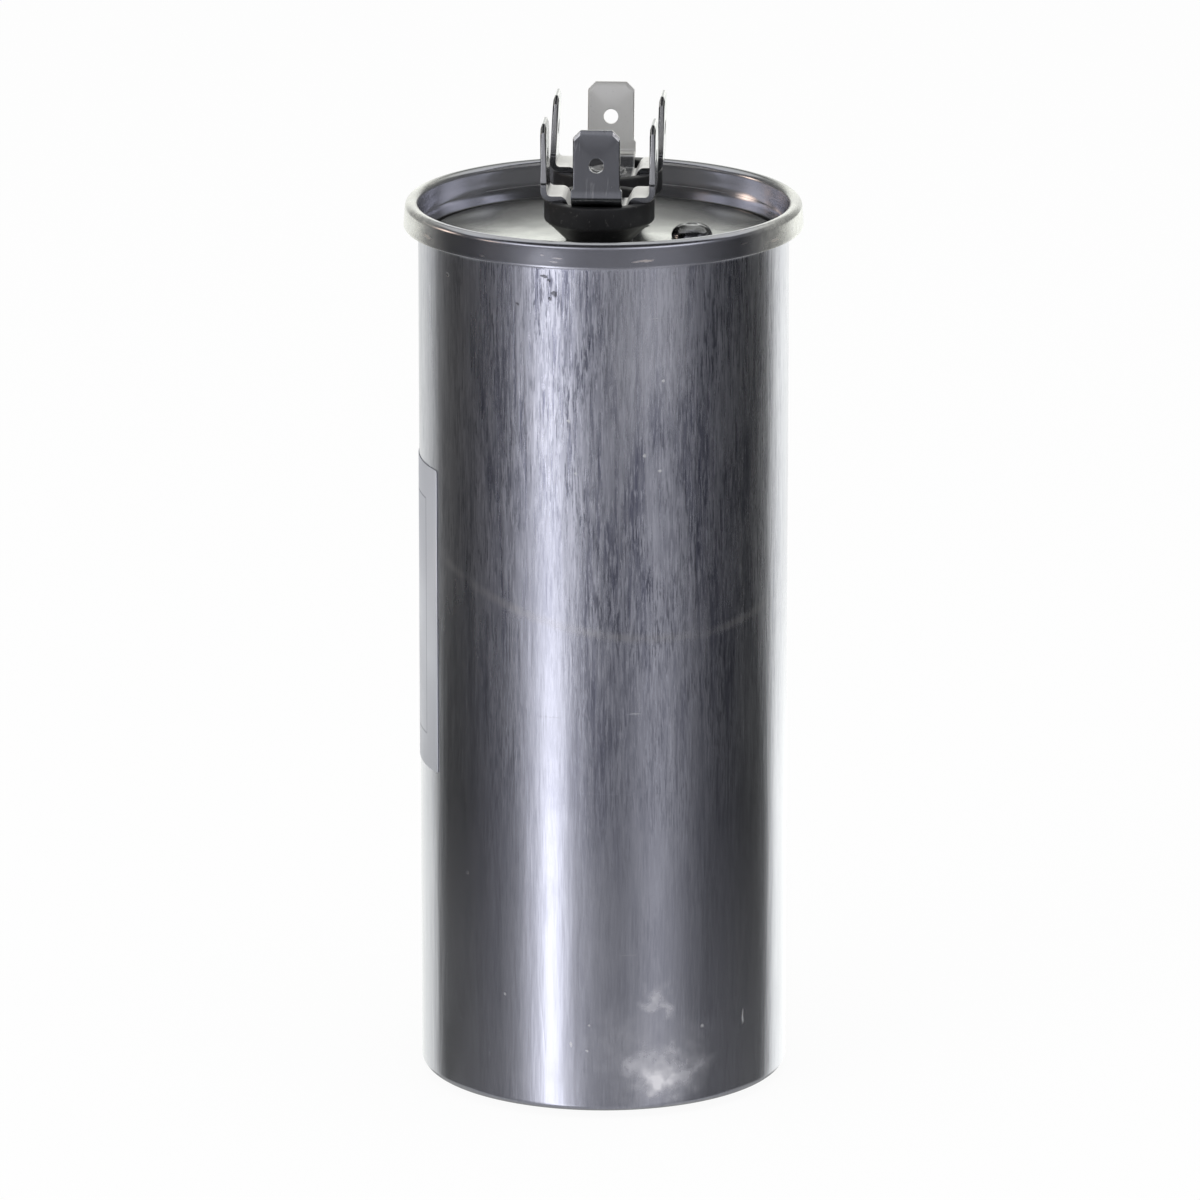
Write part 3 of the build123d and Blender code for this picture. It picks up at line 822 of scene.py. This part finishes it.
finishes = {
    "can_aluminium": makeCanAluminium(),
    "lid_tinplate": makeLidTinplate(),
    "tab_tinned": makeTabTinned(),
    "rivet_tinned": makeTabTinned(),
    "bush_plastic": makeBushPlastic(),
    "plug_solder": makePlugSolder(),
    "label_foil": makeLabelFoil(),
}
for slotName in simpleFinishes:
    finishes[slotName] = makeSimpleFinish(slotName)
print("finishes are mixed")


def vertsOf(parts):
    return [part for part in parts if isinstance(part, bmesh.types.BMVert)]


def edgesOf(parts):
    return [part for part in parts if isinstance(part, bmesh.types.BMEdge)]


def penLine(bm, tip, *points):  # draws straight runs on from the last point, in the plane y = 0
    for x, z in points:
        tip = bmesh.ops.extrude_vert_indiv(bm, verts=[tip])["verts"][0]
        tip.co = (x, 0, z)
    return tip


def penRows(bm, tip, x, z, rows):  # one straight run in equal steps
    start = tip.co.copy()
    for row in range(1, rows + 1):
        point = start.lerp(Vector((x, 0, z)), row / rows)
        tip = penLine(bm, tip, (point.x, point.z))
    return tip


def swung(bm, parts, centre, angle, steps):  # round a point of the plane; a positive angle turns left
    spun = bmesh.ops.spin(bm, geom=parts, cent=(centre[0], 0, centre[1]), axis=(0, -1, 0),
                          angle=radians(angle), steps=steps, use_duplicate=False, use_merge=False)
    return spun["geom_last"]


def penArc(bm, tip, centre, angle, steps):
    return vertsOf(swung(bm, [tip], centre, angle, steps))[0]


def lathe(bm, steps, centre=(0, 0)):  # spins the drawn outline round an upright axis
    bmesh.ops.translate(bm, vec=(*centre, 0), verts=bm.verts)
    bmesh.ops.spin(bm, geom=bm.verts[:] + bm.edges[:], cent=(*centre, 0), axis=(0, 0, 1),
                   angle=2 * pi, steps=steps, use_duplicate=False, use_merge=True)
    bmesh.ops.remove_doubles(bm, verts=bm.verts, dist=1e-4)
    bmesh.ops.recalc_face_normals(bm, faces=bm.faces)


def roundCorners(bm, angle, offset, segments=3):
    sharp = [edge for edge in bm.edges
             if len(edge.link_faces) == 2 and edge.calc_face_angle() > radians(angle)]
    bmesh.ops.bevel(bm, geom=sharp, offset=offset, offset_type="OFFSET", affect="EDGES",
                    segments=segments, profile=0.5, material=-1, clamp_overlap=True)


def finishPiece(bm, name, slotName, node, wall=0.0, wallSide=-1.0, edge=0.0, edgeAngle=40):
    graded = bm.verts.layers.deform.active is not None
    bmesh.ops.scale(bm, vec=(mm, mm, mm), verts=bm.verts)
    for face in bm.faces:
        face.smooth = True
    mesh = bpy.data.meshes.new(name)
    bm.to_mesh(mesh)
    bm.free()
    mesh.materials.append(finishes[slotName])
    piece = bpy.data.objects.new(name, mesh)
    bpy.context.scene.collection.objects.link(piece)
    if wall:
        solid = piece.modifiers.new("sheet", "SOLIDIFY")
        solid.thickness = wall * mm
        solid.offset = wallSide
        solid.use_even_offset = True
        if graded:
            solid.vertex_group = piece.vertex_groups.new(name="fullSheet").name
    if edge:
        bevel = piece.modifiers.new("edges", "BEVEL")
        bevel.width = edge * mm
        bevel.segments = 2
        bevel.limit_method = "ANGLE"
        bevel.angle_limit = radians(edgeAngle)
        bevel.harden_normals = True
    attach(piece, "root")
    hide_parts(node)
    print(name, "is made")


canShape = {
    "radius": 25.0,
    "sheet": 0.5,
    "footLevel": 2.0,
    "footRadius": 1.1,
    "footSlope": 72.0,
    "underside": 21.3,
    "flareFoot": 117.6,
    "flareLean": 24.0,
    "flareBend": 1.2,
    "flareRadius": 25.8,
    "innerFlare": (117.7, 120.0),
    "turns": 256,
    "wallRows": 64,
    "waviness": 0.03,
    "wavesTo": 117.0,
    "waveFade": 6.0,
}


def makeCan():
    size = canShape
    low, high = nodeBox("can")
    radius, foot, flare = size["radius"], size["footLevel"], size["flareRadius"]
    corner, slope = size["footRadius"], radians(size["footSlope"])
    bend, lean = size["flareBend"], radians(size["flareLean"])
    inner, hook = radius - size["sheet"], flare - size["sheet"]
    bm = bmesh.new()
    tip = bm.verts.new((0, 0, low.z))
    tip = penRows(bm, tip, size["underside"], low.z, 8)
    tip = penRows(bm, tip, radius - corner * (1 - cos(slope)), low.z + foot - corner * sin(slope), 3)
    tip = penArc(bm, tip, (radius - corner, low.z + foot), size["footSlope"], 10)
    tip = penRows(bm, tip, radius, size["flareFoot"], size["wallRows"])
    tip = penArc(bm, tip, (radius + bend, size["flareFoot"]), -size["flareLean"], 3)
    flareX = flare - bend * (1 - cos(lean))
    flareZ = tip.co.z + (flareX - tip.co.x) / tan(lean)
    tip = penLine(bm, tip, (flareX, flareZ))
    tip = penArc(bm, tip, (flare - bend, flareZ - bend * sin(lean)), size["flareLean"], 3)
    innerFoot, innerTop = size["innerFlare"]
    tip = penLine(bm, tip, (flare, high.z), (hook, high.z), (hook, innerTop), (inner, innerFoot))
    tip = penLine(bm, tip, (inner, foot + 0.3), (radius - 1.4, 1.3))
    tip = penLine(bm, tip, (size["underside"], size["sheet"]), (0, size["sheet"]))
    lathe(bm, size["turns"])
    for vert in bm.verts:
        if 1 < vert.co.z < size["wavesTo"] and vert.co.xy.length > radius - 0.2:
            swell = noise.noise(Vector((vert.co.x / 11, vert.co.y / 11, vert.co.z / 40)))
            fade = min(1, (size["wavesTo"] - vert.co.z) / size["waveFade"], vert.co.z / size["waveFade"])
            vert.co.xy *= 1 + size["waviness"] * (swell - 0.6) * fade / radius
    finishPiece(bm, "canShell", "can_aluminium", "can")


lidShape = {
    "recess": 4.8,
    "panelRadius": 23.5,
    "panelRows": 24,
    "panelBend": 0.22,
    "dish": 0.35,
    "groove": 0.8,
    "grooveBend": 0.14,
    "wallFoot": 24.13,
    "wallStart": 116.5,
    "mouth": 24.98,
    "rim": 26.96,
    "lean": 0.2,
    "kink": 24.5,
    "kinkLevel": 118.7,
    "skirtDrop": 3.45,
    "tuckTop": 119.6,
    "sheet": 0.3,
    "turns": 256,
}


def makeLid():
    size = lidShape
    high = nodeBox("lid")[1]
    panel, foot, mouth, rim = (size[name] for name in ("panelRadius", "wallFoot", "mouth", "rim"))
    bend, fillet = size["panelBend"], size["grooveBend"]
    top = high.z - size["recess"]
    floor = top - size["groove"]
    roll = (rim - size["lean"] - mouth) / 2
    skirt = high.z - size["skirtDrop"]
    bm = bmesh.new()
    tip = bm.verts.new((0, 0, top - size["dish"]))
    for row in range(1, size["panelRows"] + 1):
        share = row / size["panelRows"]
        tip = penLine(bm, tip, ((panel - 0.6) * share, top - size["dish"] * (1 - share ** 2)))
    tip = penLine(bm, tip, (panel - bend, top))
    tip = penArc(bm, tip, (panel - bend, top - bend), -90, 5)
    tip = penLine(bm, tip, (panel, floor + fillet))
    tip = penArc(bm, tip, (panel + fillet, floor + fillet), 90, 4)
    tip = penLine(bm, tip, (foot - fillet, floor))
    tip = penArc(bm, tip, (foot - fillet, floor + fillet), 90, 4)
    tip = penLine(bm, tip, (foot, size["wallStart"]), (foot + 0.03, size["wallStart"] + 0.15))
    tip = penRows(bm, tip, size["kink"], size["kinkLevel"] - 0.1, 3)
    tip = penRows(bm, tip, size["kink"] + 0.09, size["kinkLevel"] + 0.1, 2)
    tip = penRows(bm, tip, mouth - 0.04, high.z - roll - 0.35, 3)
    tip = penLine(bm, tip, (mouth, high.z - roll))
    tip = penArc(bm, tip, (mouth + roll, high.z - roll), -180, 16)
    tip = penRows(bm, tip, rim - 0.02, skirt + 0.34, 4)
    tip = penLine(bm, tip, (rim, skirt + 0.14), (rim - 0.01, skirt + 0.06), (rim - 0.05, skirt + 0.01))
    tip = penLine(bm, tip, (rim - 0.12, skirt), (rim - 0.3, skirt), (rim - 0.61, skirt + 0.02))
    tip = penLine(bm, tip, (rim - 0.81, skirt + 0.3), (rim - 0.84, size["tuckTop"]))
    lathe(bm, size["turns"])
    finishPiece(bm, "lidSheet", "lid_tinplate", "lid", wall=size["sheet"])


bushShape = {
    "base": 117.8,
    "neck": 4.5,
    "neckTop": 118.7,
    "waist": 6.45,
    "waistLevel": 120.6,
    "radius": 7.4,
    "shoulder": 121.4,
    "recess": 5.95,
    "recessFloor": 122.7,
    "rounding": 0.22,
}


def makeBush(side):
    low, high = nodeBox(side + "_insulator")
    size = bushShape
    bm = bmesh.new()
    tip = bm.verts.new((0, 0, size["base"]))
    tip = penLine(bm, tip, (size["neck"], size["base"]), (size["neck"], size["neckTop"]))
    tip = penLine(bm, tip, (size["waist"], size["waistLevel"]), (size["radius"], size["shoulder"]))
    tip = penLine(bm, tip, (size["radius"], high.z), (size["recess"], high.z))
    penLine(bm, tip, (size["recess"], size["recessFloor"]), (0, size["recessFloor"]))
    lathe(bm, 96, ((low.x + high.x) / 2, (low.y + high.y) / 2))
    roundCorners(bm, 20, size["rounding"], 4)
    finishPiece(bm, side + "Bush", "bush_plastic", side + "_insulator")


plugShape = {"radius": 2.8, "height": 1.5, "dish": 0.12, "unevenness": 0.08, "rounding": 0.12}


def makePlug():
    low, high = nodeBox("fill_plug")
    size = plugShape
    radius, base = size["radius"], high.z - size["height"]
    bm = bmesh.new()
    tip = bm.verts.new((0, 0, base - 0.2))
    tip = penLine(bm, tip, (radius, base - 0.2), (radius, base + 0.25))
    tip = penLine(bm, tip, (2.55, base + 0.75), (2.0, base + 1.2), (1.2, high.z), (0.9, high.z))
    penLine(bm, tip, (0.5, high.z - size["dish"]), (0, high.z - size["dish"]))
    lathe(bm, 64, ((low.x + high.x) / 2, 0))
    for vert in bm.verts:
        lump = noise.noise(vert.co * 0.6) * size["unevenness"]
        vert.co.x += lump
        vert.co.y += lump
    roundCorners(bm, 12, size["rounding"])
    finishPiece(bm, "fillPlugHead", "plug_solder", "fill_plug")


tabShape = {
    "sheet": 0.8,
    "armWidth": 6.8,
    "tabWidth": 6.3,
    "tip": 134.7,
    "shoulder": 126.8,
    "shoulderDrop": 0.25,
    "corner": 1.05,
    "hole": 1.0,
    "holeDrop": 4.75,
    "bend": 1.0,
    "slope": 62.0,
    "slopeBend": 0.6,
    "hubLevel": 123.1,
    "armLevel": 124.7,
    "leanLevel": 125.9,
    "edge": 0.07,
    "coined": 0.45,
    "lip": 0.15,
    "sideReach": 7.26,
    "outwardReach": 6.16,
}


def makeTab(bm, reach):  # the standing blade with its coined border and hole; gives its lower edges
    size = tabShape
    sheet = bm.verts.layers.deform.verify()
    narrow, lip = size["tabWidth"] / 2, size["lip"]
    tip, corner, foot = size["tip"], size["corner"], size["shoulder"]
    rim = [(-narrow, foot), (-narrow, tip - corner), (corner - narrow, tip)]
    flat = [(lip - narrow, foot), (lip - narrow, tip - corner - 3 * lip), (0.95 - narrow, tip - 0.7)]
    outer, inner = ([bm.verts.new((reach, y, z)) for y, z in line + [(-y, z) for y, z in reversed(line)]]
                    for line in (rim, flat))
    for vert in outer[1:-1]:
        vert[sheet][0] = size["coined"]
    for near, far in zip(zip(outer, inner), zip(outer[1:], inner[1:])):
        bm.faces.new((near[0], far[0], far[1], near[1]))
    edges = [bm.edges.get(pair) or bm.edges.new(pair) for pair in zip(inner, inner[1:] + inner[:1])]
    turned = Matrix.Translation((reach, 0, tip - size["holeDrop"])) @ Matrix.Rotation(pi / 2, 4, "Y")
    ring = bmesh.ops.create_circle(bm, segments=32, radius=size["hole"], matrix=turned)["verts"]
    edges += list({edge for vert in ring for edge in vert.link_edges})
    bmesh.ops.triangle_fill(bm, use_beauty=True, use_dissolve=False, edges=edges)
    ends = {outer[0], inner[0], inner[-1], outer[-1]}
    return [edge for edge in bm.edges if ends.issuperset(edge.verts)]


def lowerRow(bm, edges, step):
    parts = bmesh.ops.extrude_edge_only(bm, edges=edges)["geom"]
    bmesh.ops.translate(bm, vec=step, verts=vertsOf(parts))
    return edgesOf(parts)


def bentRow(bm, edges, centre, angle, steps):
    return edgesOf(swung(bm, edges, centre, angle, steps))


def makeBlade(bm, reach):  # one tab with its arm, on the +X side of the hub, as a middle sheet
    size = tabShape
    before = set(bm.verts)
    foot = size["shoulder"] - size["shoulderDrop"]
    half, bend, turn = size["armWidth"] / 2, size["slopeBend"], radians(size["slope"])
    arm, corner = size["armLevel"], size["bend"]
    row = lowerRow(bm, makeTab(bm, reach), Vector((0, 0, -size["shoulderDrop"])))
    for vert in {vert for edge in row for vert in edge.verts}:
        vert.co.y *= size["armWidth"] / size["tabWidth"]
    run = (arm - size["hubLevel"] - 2 * bend * (1 - cos(turn))) / sin(turn)
    step = half + 0.15 + 2 * bend * sin(turn) + run * cos(turn)
    row = lowerRow(bm, row, Vector((0, 0, arm + corner - foot)))
    row = bentRow(bm, row, (reach - corner, arm + corner), -90, 8)
    row = lowerRow(bm, row, Vector((min(step - reach + corner, -0.02), 0, 0)))
    row = bentRow(bm, row, (row[0].verts[0].co.x, arm - bend), size["slope"], 6)
    row = lowerRow(bm, row, Vector((-run * cos(turn), 0, -run * sin(turn))))
    end = row[0].verts[0].co.x - bend * sin(turn)
    row = bentRow(bm, row, (end, size["hubLevel"] + bend), -size["slope"], 6)
    lowerRow(bm, row, Vector((half - row[0].verts[0].co.x, 0, 0)))
    return [vert for vert in bm.verts if vert not in before]


def makeTerminal(side, leans):  # leans in degrees by compass angle of the tab
    size = tabShape
    low, high = nodeBox(side + "_terminal")
    box = nodeBox(side + "_insulator")
    half = size["armWidth"] / 2
    inset = half * (1 - 2 * size["lip"] / size["tabWidth"])
    bm = bmesh.new()
    sheet = bm.verts.layers.deform.verify()
    for vert in bmesh.ops.create_grid(bm, x_segments=3, y_segments=3, size=half)["verts"]:
        vert.co = (copysign(half if abs(vert.co.x) > 2 else inset, vert.co.x),
                   copysign(half if abs(vert.co.y) > 2 else inset, vert.co.y), size["hubLevel"])
    for angle, lean in leans.items():
        reach = size["sideReach" if angle in (0, 180) else "outwardReach"]
        verts = makeBlade(bm, reach)
        standing = [vert for vert in verts if vert.co.z > size["leanLevel"]]
        leaning, turned = Matrix.Rotation(radians(lean), 3, "Y"), Matrix.Rotation(radians(angle), 3, "Z")
        bmesh.ops.rotate(bm, cent=(reach, 0, size["leanLevel"]), matrix=leaning, verts=standing)
        bmesh.ops.rotate(bm, cent=(0, 0, 0), matrix=turned, verts=verts)
    bmesh.ops.remove_doubles(bm, verts=bm.verts, dist=1e-3)
    bmesh.ops.recalc_face_normals(bm, faces=bm.faces)
    bmesh.ops.translate(bm, vec=((low.x + high.x) / 2, (box[0].y + box[1].y) / 2, 0), verts=bm.verts)
    for vert in bm.verts:
        if 0 not in vert[sheet]:
            vert[sheet][0] = 1.0
    finishPiece(bm, side + "Tabs", "tab_tinned", side + "_terminal", wall=size["sheet"], wallSide=0.0,
                edge=size["edge"], edgeAngle=18)


rivetShape = {"base": 123.5, "radius": 2.6, "rounding": 0.1}


def makeRivet(side):
    low, high = nodeBox(side + "_rivet")
    base, radius = rivetShape["base"], rivetShape["radius"]
    bm = bmesh.new()
    tip = bm.verts.new((0, 0, base - 0.3))
    tip = penLine(bm, tip, (radius, base - 0.3), (radius, base + 0.3), (2.3, base + 0.75), (1.6, high.z))
    penLine(bm, tip, (1.0, high.z), (0.7, high.z - 0.5), (0, high.z - 0.6))
    lathe(bm, 64, ((low.x + high.x) / 2, (low.y + high.y) / 2))
    roundCorners(bm, 15, rivetShape["rounding"])
    finishPiece(bm, side + "RivetHead", "rivet_tinned", side + "_rivet")


labelShape = {
    "wide": 74.2,
    "tall": 42.3,
    "corner": 0.4,
    "edgeAngle": -60.0,
    "radius": 25.06,
    "sheet": 0.06,
    "strips": 90,
}


def makeLabel():
    size = labelShape
    base = nodeBox("label")[0].z
    wide, tall, radius = size["wide"], size["tall"], size["radius"]
    bm = bmesh.new()
    corners = [bm.verts.new(point) for point in ((0, 0, 0), (wide, 0, 0), (wide, tall, 0), (0, tall, 0))]
    bm.faces.new(corners)
    bmesh.ops.bevel(bm, geom=corners, offset=size["corner"], offset_type="OFFSET", affect="VERTICES",
                    segments=6, profile=0.5, material=-1)
    for cut in range(1, size["strips"]):
        geom = bm.verts[:] + bm.edges[:] + bm.faces[:]
        place = (wide * cut / size["strips"], 0, 0)
        bmesh.ops.bisect_plane(bm, geom=geom, plane_co=place, plane_no=(1, 0, 0))
    layer = bm.loops.layers.uv.new("labelPlace")
    for face in bm.faces:
        for loop in face.loops:
            loop[layer].uv = loop.vert.co.xy
    for vert in bm.verts:
        turn = radians(size["edgeAngle"]) - (wide - vert.co.x) / radius
        vert.co = (radius * sin(turn), -radius * cos(turn), base + vert.co.y)
    bmesh.ops.recalc_face_normals(bm, faces=bm.faces)
    finishPiece(bm, "foilLabel", "label_foil", "label", wall=size["sheet"], wallSide=0.0)


makeCan()
makeLid()
for side in ("front", "rear"):
    makeBush(side)
    makeRivet(side)
makeTerminal("front", {0: 0.4, 180: 0.4, 270: -3.5})
makeTerminal("rear", {0: 1.5, 180: -3.0, 90: 9.5})
makePlug()
makeLabel()

slotOfNode = {
    "can": "can_aluminium",
    "lid": "lid_tinplate",
    "label": "label_foil",
    "fill_plug": "plug_solder",
    "seam_compound": "seam_compound",
    "lower_end_spray": "end_spray",
    "upper_end_spray": "end_spray",
    "wound_element": "film_winding",
    "core_tube": "core_plastic",
    "element_wrap": "wrap_film",
    "bottom_cup": "cup_plastic",
    "top_spacer": "spacer_board",
}
slotOfStudPiece = {
    "insulator": "bush_plastic",
    "terminal": "tab_tinned",
    "rivet": "rivet_tinned",
    "gasket": "gasket_rubber",
    "inner_washer": "washer_plastic",
    "lug": "lug_brass",
    "lead": "lead_copper",
}
for side in ("front", "rear"):
    slotOfNode.update({side + "_" + name: slotName for name, slotName in slotOfStudPiece.items()})
for nodeName, slotName in slotOfNode.items():
    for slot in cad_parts[nodeName].material_slots:
        slot.material = finishes[slotName]
print("CAD nodes are painted")

bpy.context.scene.view_settings.view_transform = "Standard"
